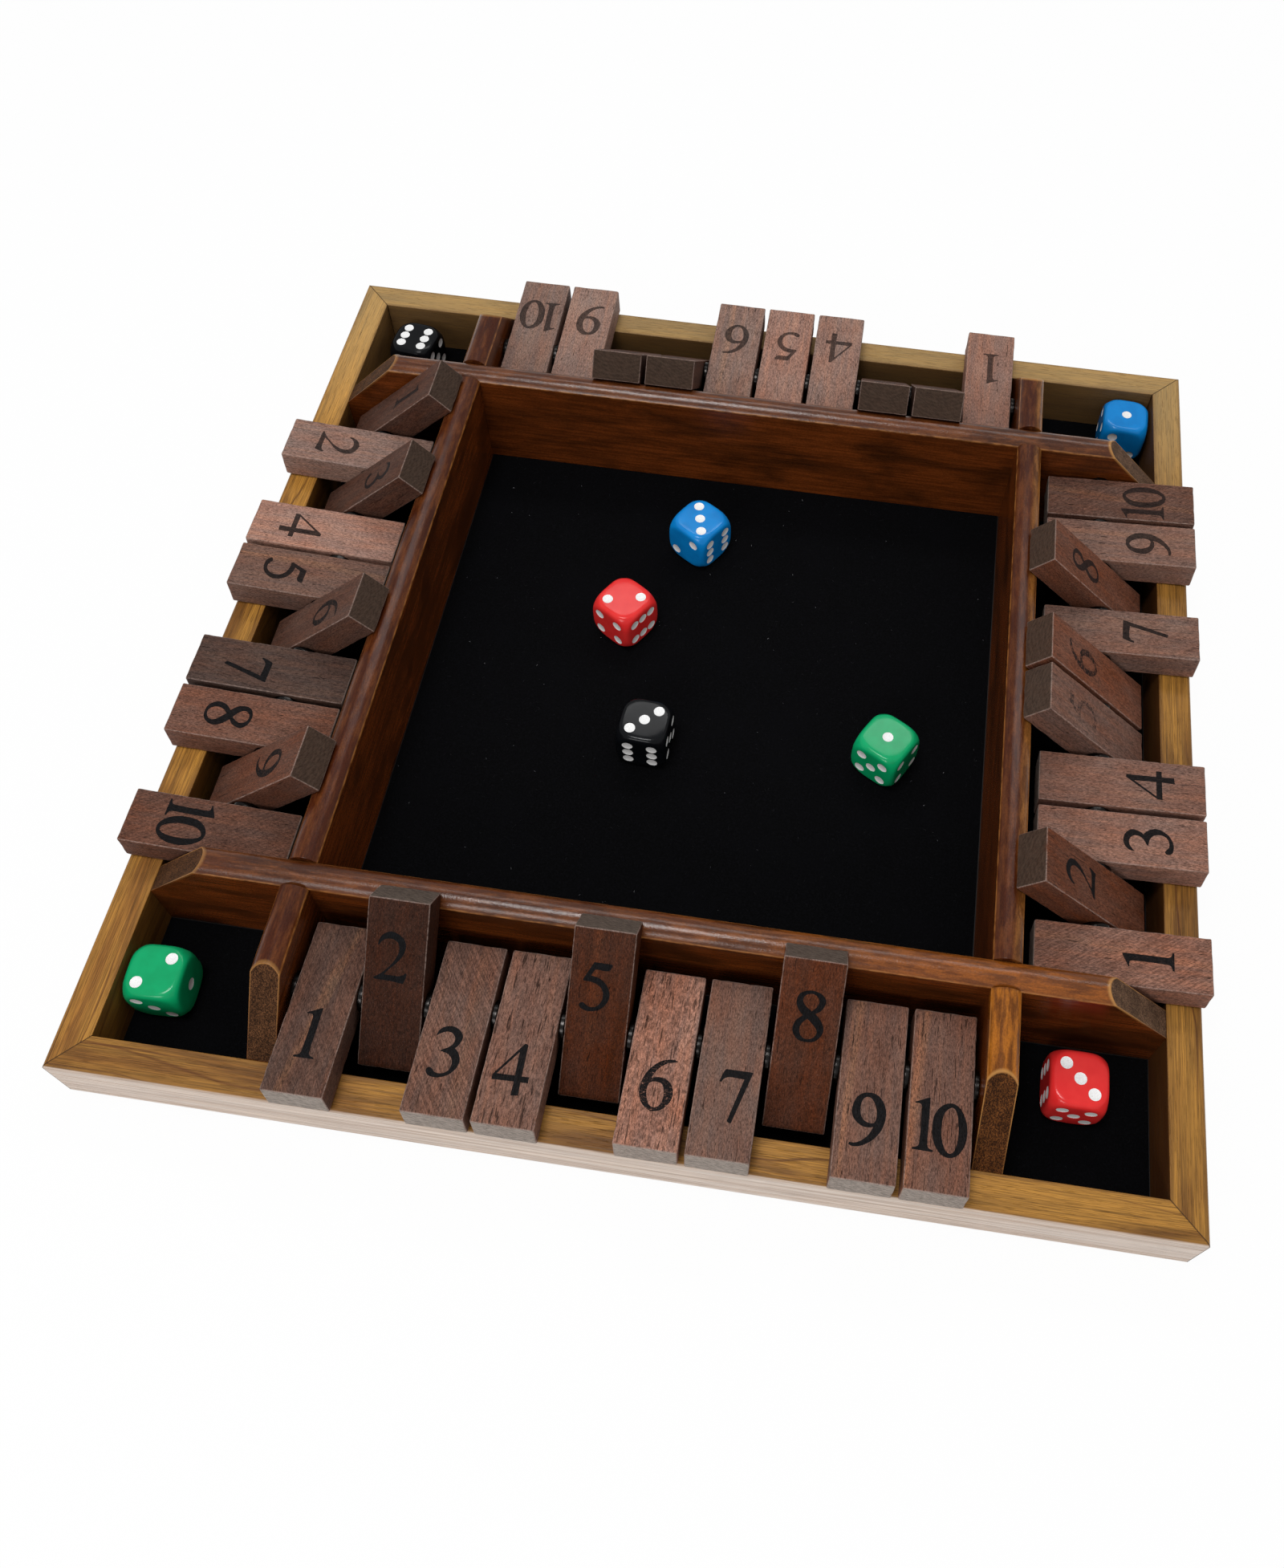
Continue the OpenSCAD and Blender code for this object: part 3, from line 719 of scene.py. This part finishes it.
# The tiles' wood, and the ink on it. A tile's own place and looks are in its attributes.
def makeWalnut(inked):
    finish = Finish("printedNumber" if inked else "dustyWalnut")
    place = finish.attribute("tilePlace")
    # The tile's lightness is partly painted shade on the standing tiles
    tone, warmth, wear = finish.attribute("tileLook").split()
    start, slant, strength = finish.attribute("tileStreak").split()
    seed = finish.attribute("tileSeed", 2)
    x, y, z = place.split()
    grain = place.plus(finish.join(seed * 37.0, seed * 53.0, seed * 71.0))
    coarse, cracked, sanded = finish.attribute("tileGrain").split()
    fleck = grain.noise((3.0, 1.0, 3.0), 4, 0.8)
    bark = grain.noise((0.9, 0.5, 0.9), 4, 0.7, 1.2)
    bands = grain.noise((0.55, 0.035, 0.55), 3, 0.6, 0.5)
    cloud = grain.noise((0.14, 0.07, 0.14), 3, 0.55)
    dust = grain.noise((5.0, 3.2, 5.0), 2, 0.6)
    pores = grain.noise((3.6, 0.45, 3.6), 2, 0.5).ramp(0.62, 0.7)
    cracks = grain.noise((1.9, 0.16, 1.9), 2, 0.55, 0.4) + cracked * 0.09
    cracks = cracks.ramp(0.7, 0.73)
    marks = finish.join(x * 0.82 + y * 0.57 + seed + cloud * 1.5, y * 0.82 - x * 0.57, z)
    sanding = marks.noise((2.4, 0.07, 2.4), 3, 0.6).ramp(0.46, 0.58) * sanded
    # Green and blue fall away from red as the wood gets warmer
    warm = warmth + (cloud - 0.5) * 0.9 - dust * 0.1
    colour = finish.join(tone, tone * (0.62 - warm * 0.32), tone * (0.49 - warm * 0.36))
    band = bands.ramp(0.38, 0.68) - 0.45
    colour = colour.times(finish.join(1 + band * 0.3, 1 + band * 0.2, 1 + band * 0.1))
    colour = colour.scale(0.58 + fleck.ramp(0.35, 0.63) * 0.84)
    colour = colour.scale(1 + (bark.ramp(0.35, 0.65) - 0.5) * (coarse * 0.7))
    colour = colour.scale(0.92 + dust.ramp(0.35, 0.7) * 0.16 + (sanding - sanded * 0.4) * 0.4)
    colour = colour.blend(walnut["dust"], dust.ramp(0.64, 0.7) * 0.14)
    # One lighter streak of sapwood
    gap = abs(x - start - (y - tiles["middle"]) * slant + (bands - 0.5) * 3.4)
    lit = (1 - gap.ramp(0.2, 1.8)) * strength * (0.4 + fleck.ramp(0.3, 0.6) * 0.6)
    colour = colour.times(finish.join(1 + lit * 0.55, 1 + lit * 0.4, 1 + lit * 0.1))
    dark = (pores * 0.45 + cracks * 0.7).math("MINIMUM", 0.85)
    colour = colour.blend(walnut["cracks"], dark)
    # End grain with growth rings. Its pale colour is painted light: all of it on the ends of lying
    # tiles, a share on standing ones
    fromEnd = tiles["length"] / 2 - abs(y - tiles["middle"])
    above = z - walnut["ringCentre"]
    rings = (x * x + above * above).math("SQRT") * 0.8 + seed * 5.0 + cloud * 2.0
    rings = rings.math("FRACT")
    ends = finish.attribute("tileEnd", 2).between(*walnut["ends"])
    cross = finish.join(x * 0.5 + z, z * 0.5 - x, seed).noise((1.8, 0.5, 1.0), 4, 0.8)
    ends = ends.scale(0.6 + abs(rings - 0.5) * 0.5 + cross.ramp(0.38, 0.6) * 0.55)
    colour = colour.blend(ends, (1 - fromEnd.ramp(0.02, 0.3)) * 0.9)
    # Edges lighter: rubbed wood, with a painted highlight along the edges
    depths = (tiles["width"] / 2 - abs(x), fromEnd, tiles["thickness"] / 2 - abs(z))
    near = sum((1 - depth.ramp(0.12, 0.5) for depth in depths), -1.0)
    rubAndHighlight = near.ramp(0.1, 0.9) * (0.2 + fleck.ramp(0.35, 0.6) * 0.8)
    colour = colour.blend(walnut["rubbed"], rubAndHighlight * 0.6)
    height = fleck * 0.6 - pores * 0.6 - cracks * 1.5 + dust * 0.3 + bark * coarse
    rough = 0.56 + dust * 0.16
    if inked:
        scratch = grain.noise((0.9, 3.4, 1.0), 4, 0.75, 0.8)
        worn = (scratch + wear * 0.42).ramp(0.80, 0.90)
        ink = fleck.ramp(0.4, 0.7).between(*walnut["ink"])
        # Painted sheen: the ink is paler towards the back of the game, where the tiles are seen at
        # a grazing angle, and a little paler where dust lies
        palerShare = finish.place().split()[1].ramp(-60.0, 140.0) * 0.2 + dust.ramp(0.4, 0.7) * 0.05
        colour = ink.blend(colour, (worn + palerShare).math("MINIMUM", 1.0))
        rough = 0.5 + dust * 0.14
    return finish.surface(
        Base_Color=colour, Roughness=rough, Specular_IOR_Level=walnut["gloss"],
        Normal=finish.bump(height, walnut["relief"]))


# Samples a digit's outline, round at plain points and sharp at corners
def tracedOutline(points, parts=5):
    traced, count = [], len(points)
    for k in range(count):
        here, there = points[k], points[(k + 1) % count]
        start, stop = Vector(here[:2]), Vector(there[:2])
        third = (stop - start) / 3
        leave, arrive = third, third
        if len(here) == 2:
            leave = (stop - Vector(points[k - 1][:2])).normalized() * third.length
        if len(there) == 2:
            arrive = (Vector(points[(k + 2) % count][:2]) - start).normalized() * third.length
        if len(here) == 3 and len(there) == 3:
            traced.append(start)
        else:
            traced += geometry.interpolate_bezier(
                start, start + leave, stop - arrive, stop, parts + 1)[:-1]
    return traced


# Adds one digit to a tile as a thin closed skin of ink. up is 1 on the upper face, else -1.
def addDigit(build, digit, across, base, up, tilt):
    size, top = tiles["numberSize"], tiles["thickness"] / 2
    turn = Matrix.Rotation(tilt, 2)
    loops = []
    for outline in digitShapes[digit]:
        loops.append([])
        for point in tracedOutline(outline):
            x, y = turn @ (Vector(point) * size + Vector((across, 0)))
            loops[-1].append(Vector((x, base + y * up, 0)))
    flat = [point for loop in loops for point in loop]
    levels = (up * (top - tiles["inkDepth"]), up * (top + tiles["inkRise"]))
    under, over = ([build.verts.new((p.x, p.y, z)) for p in flat] for z in levels)
    made = []
    for triangle in geometry.tessellate_polygon(loops):
        made.append(build.faces.new([over[k] for k in triangle]))
        made.append(build.faces.new([under[k] for k in reversed(triangle)]))
    begin = 0
    for loop in loops:
        for k in range(len(loop)):
            a, b = begin + k, begin + (k + 1) % len(loop)
            made.append(build.faces.new((under[a], under[b], over[b], over[a])))
        begin += len(loop)
    for face in made:
        face.material_index = 1
    bmesh.ops.recalc_face_normals(build, faces=made)


# The plain tile with its bore, which every tile starts from
def makeBlank():
    width, length, thick = tiles["width"], tiles["length"], tiles["thickness"]
    build = bmesh.new()
    bmesh.ops.create_cube(build, size=1)
    middle = Matrix.Translation((0, tiles["middle"], 0))
    build.transform(middle @ Matrix.Diagonal((width, length, thick, 1)))
    bmesh.ops.bevel(build, geom=build.edges[:], offset=tiles["edge"], segments=3, profile=0.5,
                    affect="EDGES")
    # Even cuts, so that the edges have points to wear back
    steps = [tiles["middle"] + tiles["cutStep"] * k for k in range(-14, 15)]
    cuts = [((0, y, 0), (0, 1, 0)) for y in steps]
    cuts += [((x, 0, 0), (1, 0, 0)) for x in (-6, -4, -2, 0, 2, 4, 6)]
    cuts += [((0, 0, z), (0, 0, 1)) for z in (-2.5, 0, 2.5)]
    for place, direction in cuts:
        bmesh.ops.bisect_plane(build, geom=build.verts[:] + build.edges[:] + build.faces[:],
                               plane_co=place, plane_no=direction)
    blank = pieceFrom(build, "blank", [])
    drill = bmesh.new()
    bmesh.ops.create_cone(drill, cap_ends=True, segments=48, radius1=tiles["bore"] / 2,
                          radius2=tiles["bore"] / 2, depth=width + 4)
    cutter = pieceFrom(drill, "drill", [], Matrix.Rotation(math.radians(90), 4, "Y"))
    modifier = blank.modifiers.new("bore", "BOOLEAN")
    modifier.object, modifier.operation, modifier.solver = cutter, "DIFFERENCE", "EXACT"
    settle(blank)
    mesh = blank.data
    bpy.data.objects.remove(blank)
    bpy.data.objects.remove(cutter)
    return mesh


# Knocks the edges of a tile back a little, more in some places than in others
def wearEdges(build, seed):
    halves = (tiles["width"] / 2, tiles["length"] / 2, tiles["thickness"] / 2)
    near = tiles["edge"] + 0.02
    for vert in build.verts:
        offset = vert.co - Vector((0, tiles["middle"], 0))
        depths = [halves[k] - abs(offset[k]) for k in range(3)]
        if sorted(depths)[1] < near:
            place = vert.co * 0.4 + Vector((seed, seed * 2, -seed))
            back = max(0.0, noise.noise(place) + 0.5 * noise.noise(place * 3.1) + 0.1)
            for k in range(3):
                if depths[k] < near:
                    vert.co[k] -= math.copysign(back * tiles["edgeWear"], offset[k])


# Stores a number or a vector for each point of a mesh
def storeValues(mesh, name, values):
    single = len(values) == len(mesh.vertices)
    layer = mesh.attributes.new(name, "FLOAT" if single else "FLOAT_VECTOR", "POINT")
    layer.data.foreach_set("value" if single else "vector", values)


def addTile(bank, number, blank, materials):
    rng = random.Random(f"{bank}{number}")
    seed = rng.uniform(0, 90)
    standing = number in tiles["standing"][bank]
    build = bmesh.new()
    build.from_mesh(blank)
    build.transform(Matrix.Scale(1 / mm, 4))
    wearEdges(build, seed)
    for up, base in ((1, tiles["lyingBase"]), (-1, tiles["standingBase"])):
        shift, lift, tilt = (rng.gauss(0, spread) for spread in tiles["printSpread"])
        shift = numberShift.get(f"{bank}{number}", shift)
        for digit, across in zip(str(number), tiles["tenPlaces"] if number == 10 else (0,)):
            addDigit(build, digit, across + shift, base + lift, up, math.radians(tilt))
    places = [value for vert in build.verts for value in vert.co]
    row = Matrix.Translation(((number - 5.5) * tiles["pitch"], -tiles["reach"], tiles["height"]))
    tip = Matrix.Rotation(math.radians(-tiles["lean" if standing else "lie"]), 4, "X")
    turn = Matrix.Rotation(math.radians(banks[bank]), 4, "Z")
    piece = pieceFrom(build, f"{bank}Tile{number}", materials, turn @ row @ tip)
    look = tileLooks[bank][number - 1]
    look += usualLook[len(look):]
    # The end share is painted light on the tile's ends
    stored = {
        "tileLook": look[:3], "tileGrain": tileGrain.get(f"{bank}{number}", usualGrain),
        "tileEnd": (tiles["endLight"][bank] if standing else 1.0,), "tileStreak": look[3:],
        "tileSeed": (seed,)}
    storeValues(piece.data, "tilePlace", places)
    for name, value in stored.items():
        storeValues(piece.data, name, value * len(piece.data.vertices))
    node = f"{bank}_tile_{number}"
    dress(smooth(piece), node, "walnut_tile", node)


# A row of spacer washers on each rod
def addWashers(steel):
    recipe = Recipe(
        "washerRows", ringRadius=(washers["across"] + washers["hole"]) / 4 * mm,
        wallWidth=(washers["across"] - washers["hole"]) / 2 * mm, thickness=washers["thick"] * mm,
        eased=washers["eased"] * mm, pitch=tiles["pitch"] * mm, count=washers["perRod"])
    given = recipe.inputs
    ring = recipe.node("GeometryNodeCurvePrimitiveCircle", None, {
        "Resolution": washers["facets"], "Radius": given["ringRadius"]})
    section = recipe.node("GeometryNodeCurvePrimitiveQuadrilateral", None, {
        "Width": given["wallWidth"], "Height": given["thickness"]})
    section = recipe.node("GeometryNodeFilletCurve", {"mode": "POLY"}, {
        "Curve": section, "Radius": given["eased"], "Count": 2})
    washer = recipe.node("GeometryNodeCurveToMesh", None, {"Curve": ring, "Profile Curve": section})
    washer = recipe.turned(washer, (0, math.radians(90), 0))
    row = recipe.node("GeometryNodeMeshLine", None, {
        "Count": given["count"], "Offset": recipe.join(given["pitch"], 0.0, 0.0),
        "Start Location": recipe.join(
            given["pitch"] * -5.0, -tiles["reach"] * mm, tiles["height"] * mm)})
    row = recipe.node("GeometryNodeInstanceOnPoints", None, {"Points": row, "Instance": washer})
    rows = [recipe.turned(row, (0, 0, math.radians(turn))) for turn in banks.values()]
    whole = recipe.node("GeometryNodeJoinGeometry", None, {0: rows})
    piece = recipe.run(pieceFrom(bmesh.new(), "spacerWashers", []), whole, steel)
    dress(smooth(piece), "box", "steel", "spacer_washers")


steel = makeSteel()
coat("pivot_rods", steel)
addWashers(steel)
blankTile = makeBlank()
walnuts = [makeWalnut(False), makeWalnut(True)]
for bank in banks:
    for number in range(1, 11):
        addTile(bank, number, blankTile, walnuts)
bpy.data.meshes.remove(blankTile)
print("rods, washers and 40 tiles ready")


dice = {
    "size": 16.0, "edge": 1.6, "corner": 11.306, "blend": 0.35, "cuts": 27, "rest": 10.6,
    "pip": 1.86, "pipDepth": 0.3, "spacing": 3.8, "rim": 0.42, "fineness": 4,
    "above": 0.1,  # from a face up to the middles of the balls that hollow its pips
    "places": {  # x, y, how the die lies, and its turn on the felt
        "red_tray": (-29.8, 23.6, (90, 0, 180), -32.2),
        "blue_tray": (-10.6, 60.5, (0, 0, 180), -32.5),
        "green_tray": (59.9, -15.8, (0, -90, 0), -29.8),
        "black_tray": (-15, -21.2, (0, 0, 90), -3.1),
        "red_corner": (120, -113.9, (0, 0, 0), -0.3),
        "blue_corner": (133.7, 132.8, (0, -90, 180), -3.1),
        "green_corner": (-133.8, -121.9, (90, 0, 0), 2.3),
        "black_corner": (-128.7, 129.6, (0, 90, 90), -7.4)},
    "colours": {"red": ("EA3634", "E42E2E"), "blue": ("0C88D6", "0A7ECA"),
                "green": ("0CA86A", "0B9E62"), "black": ("0D0F12", "0A0B0E")},
    "gloss": {"red": 0.26, "blue": 0.26, "green": 0.26, "black": 0.18},
    "pipColours": ("FAFAFA", "E6E5E2"),
}
pipSpots = {
    1: [(0, 0)], 2: [(1, -1), (-1, 1)], 3: [(1, -1), (0, 0), (-1, 1)],
    4: [(1, 1), (1, -1), (-1, 1), (-1, -1)], 5: [(1, 1), (1, -1), (-1, 1), (-1, -1), (0, 0)],
    6: [(1, 1), (1, 0), (1, -1), (-1, 1), (-1, 0), (-1, -1)],
}


def makeDieFinish(name, colours):
    finish = Finish(name + "Resin")
    place = finish.place()
    cloud = place.noise(0.2, 2, 0.5)
    grit = place.noise(3.5, 3, 0.65)
    return finish.surface(
        Base_Color=cloud.ramp(0.3, 0.7).between(*colours), Roughness=0.12 + grit * 0.08,
        Specular_IOR_Level=dice["gloss"][name], Normal=finish.bump(grit, 0.012))


def makePipFinish():
    finish = Finish("whitePip")
    grit = finish.place().noise(2.5, 3, 0.6)
    return finish.surface(
        Base_Color=grit.ramp(0.35, 0.75).between(*dice["pipColours"]),
        Roughness=0.4 + grit * 0.15, Normal=finish.bump(grit, 0.02))


# A rounded cube inside a ball, with a loose point at each pip that holds the pip's three radii
def dieShape():
    half, edge, ball, blend = dice["size"] / 2, dice["edge"], dice["corner"], dice["blend"]
    build = bmesh.new()
    bmesh.ops.create_cube(build, size=2)
    bmesh.ops.subdivide_edges(build, edges=build.edges[:], cuts=dice["cuts"], use_grid_fill=True)
    for vert in build.verts:
        # The sine spaces the points finer near the edges
        place = Vector([half * math.sin(value * math.pi / 2) for value in vert.co])
        core = Vector([max(edge - half, min(half - edge, value)) for value in place])
        place = core + (place - core).normalized() * edge
        far = place.length
        both = math.exp((half - far) / blend) + math.exp((half - ball) / blend)
        vert.co = place * ((half - blend * math.log(both)) / far)
    sizes = build.verts.layers.float_vector.new("pipSize")
    lift, deep = half + dice["above"], dice["pipDepth"] + dice["above"]
    faces = {1: (0, 1), 2: (1, 1), 3: (2, 1), 4: (2, -1), 5: (1, -1), 6: (0, -1)}
    for number, (axis, sign) in faces.items():
        for first, second in pipSpots[number]:
            place = [first * dice["spacing"], second * dice["spacing"]]
            place.insert(axis, sign * lift)
            radii = [dice["pip"] * mm] * 3
            radii[axis] = deep * mm
            build.verts.new(place)[sizes] = radii
    return build


def addDie(name, resins, pipFinish):
    x, y, lie, spin = dice["places"][name]
    colour, spot = name.split("_")
    recipe = Recipe(name + "Pips", fineness=dice["fineness"], rim=dice["rim"])

    def named(label, kind="FLOAT_VECTOR"):
        return recipe.node("GeometryNodeInputNamedAttribute", {"data_type": kind}, {"Name": label})

    def stored(shape, label, value, kind, domain):
        settings = {"data_type": kind, "domain": domain}
        return recipe.node("GeometryNodeStoreNamedAttribute", settings, {
            "Geometry": shape, "Name": label, "Value": value})

    size = named("pipSize")
    length = recipe.node("ShaderNodeVectorMath", {"operation": "LENGTH"}, {0: size}, output=1)
    points, cube = recipe.node("GeometryNodeSeparateGeometry", {"domain": "POINT"}, {
        "Geometry": recipe.inputs["Geometry"], "Selection": length > 0.0001}).siblings()[:2]
    ball = recipe.node("GeometryNodeMeshIcoSphere", None, {
        "Radius": 1.0, "Subdivisions": recipe.inputs["fineness"]})
    spots = recipe.node("GeometryNodeInputPosition")
    ball = stored(ball, "ballSpot", spots, "FLOAT_VECTOR", "POINT")
    ball = recipe.node("GeometryNodeSetMaterial", None, {
        "Geometry": ball, "Material": resins[colour]})
    bowls = recipe.node("GeometryNodeInstanceOnPoints", None, {
        "Points": points, "Instance": ball, "Scale": size})
    bowls = recipe.node("GeometryNodeRealizeInstances", None, {0: bowls})
    # A ball is flattened along the axis with the small radius. Its shallow rim keeps the resin.
    radii, where = size.split(), named("ballSpot").split()
    rise = sum((abs(where[k]) * (1 - (radii[k] > 0.001)) for k in range(3)), 0.0)
    inside = (rise > recipe.inputs["rim"]) * 1.0
    bowls = stored(bowls, "bowl", inside, "FLOAT", "FACE")
    settings = {"operation": "DIFFERENCE", "solver": "EXACT"}
    hollow = recipe.node("GeometryNodeMeshBoolean", settings, {"Mesh 1": cube, "Mesh 2": [bowls]})
    piece = pieceFrom(dieShape(), f"{colour}{spot.title()}Die", [resins[colour]])
    recipe.run(piece, hollow, pipFinish, named("bowl", "FLOAT") > 0.5)
    turn = Euler([math.radians(a) for a in lie]).to_matrix().to_4x4()
    piece.data.transform(Matrix.Translation(Vector((x, y, dice["rest"])) * mm)
                         @ Matrix.Rotation(math.radians(spin), 4, "Z") @ turn)
    node = name + "_die"
    dress(smooth(piece, 30), node, colour + "_die", node)


resins = {name: makeDieFinish(name, colours) for name, colours in dice["colours"].items()}
pipFinish = makePipFinish()
for name in dice["places"]:
    addDie(name, resins, pipFinish)
print("eight dice ready")


fuzz = {  # density is per square metre
    "nap": {"density": 45000.0, "length": 0.9, "thick": 0.035, "seed": 11,
            "colours": ("101014", "26262C")},
    "lint": {"density": 2600.0, "length": 0.45, "thick": 0.08, "seed": 16,
             "colours": ("5A5A60", "B8B8BC")},
    "sizes": (0.35, 1.3), "tilt": 0.15, "bow": 0.3, "lift": 0.25,
}


def makeFibre(name, colours):
    finish = Finish(name + "Fibre")
    spread = finish.place().noise(0.3, 2, 0.5)
    return finish.surface(Base_Color=spread.ramp(0.35, 0.65).between(*colours), Roughness=0.8)


# The nine sheets of felt: the tray, the four strips under the tiles and the corner wells
def feltSheets():
    line, past, inner = box["wallLine"], box["wallThick"] / 2 + box["feltGap"], box["inner"]
    inner, far, tray = inner - box["feltGap"], line + past, line - past
    spans = ((-inner, -far), (-tray, tray), (far, inner))
    sheets = bmesh.new()
    for west, east in spans:
        for south, north in spans:
            corners = ((west, south), (east, south), (east, north), (west, north))
            sheets.faces.new([sheets.verts.new((x, y, box["feltTop"])) for x, y in corners])
    return sheets


# Short loose fibres that lie on the felt
def addFibres(name):
    look, title = fuzz[name], "felt" + name.title()
    recipe = Recipe(title + "Scatter", density=look["density"], fibreLength=look["length"] * mm,
                    fibreRadius=look["thick"] * mm / 2, seed=look["seed"])
    given = recipe.inputs
    points = recipe.node("GeometryNodeDistributePointsOnFaces", None, {
        "Mesh": given["Geometry"], "Density": given["density"], "Seed": given["seed"]})
    reach = given["fibreLength"]
    hair = recipe.node("GeometryNodeCurveQuadraticBezier", None, {
        "Resolution": 2, "Start": recipe.join(reach * -0.5, 0.0, 0.0),
        "Middle": recipe.join(0.0, reach * fuzz["bow"], reach * fuzz["lift"]),
        "End": recipe.join(reach * 0.5, 0.0, 0.0)})
    section = recipe.node("GeometryNodeCurvePrimitiveCircle", None, {
        "Resolution": 3, "Radius": given["fibreRadius"]})
    hair = recipe.node("GeometryNodeCurveToMesh", None, {
        "Curve": hair, "Profile Curve": section, "Fill Caps": True})
    tilt, (least, most) = fuzz["tilt"], fuzz["sizes"]
    turn = recipe.node("FunctionNodeRandomValue", {"data_type": "FLOAT_VECTOR"}, {
        0: (-tilt, -tilt, 0.0), 1: (tilt, tilt, 6.283), 8: given["seed"]})  # any way round
    size = recipe.node("FunctionNodeRandomValue", {"data_type": "FLOAT"}, {
        2: least, 3: most, 8: given["seed"] + 1}, output=1)
    hairs = recipe.node("GeometryNodeInstanceOnPoints", None, {
        "Points": points, "Instance": hair, "Rotation": turn, "Scale": size})
    piece = pieceFrom(feltSheets(), title, [])
    recipe.run(piece, hairs, makeFibre(name, look["colours"]))
    dress(piece, "box", "black_felt")


for name in ("nap", "lint"):
    addFibres(name)
print("felt fibres ready")
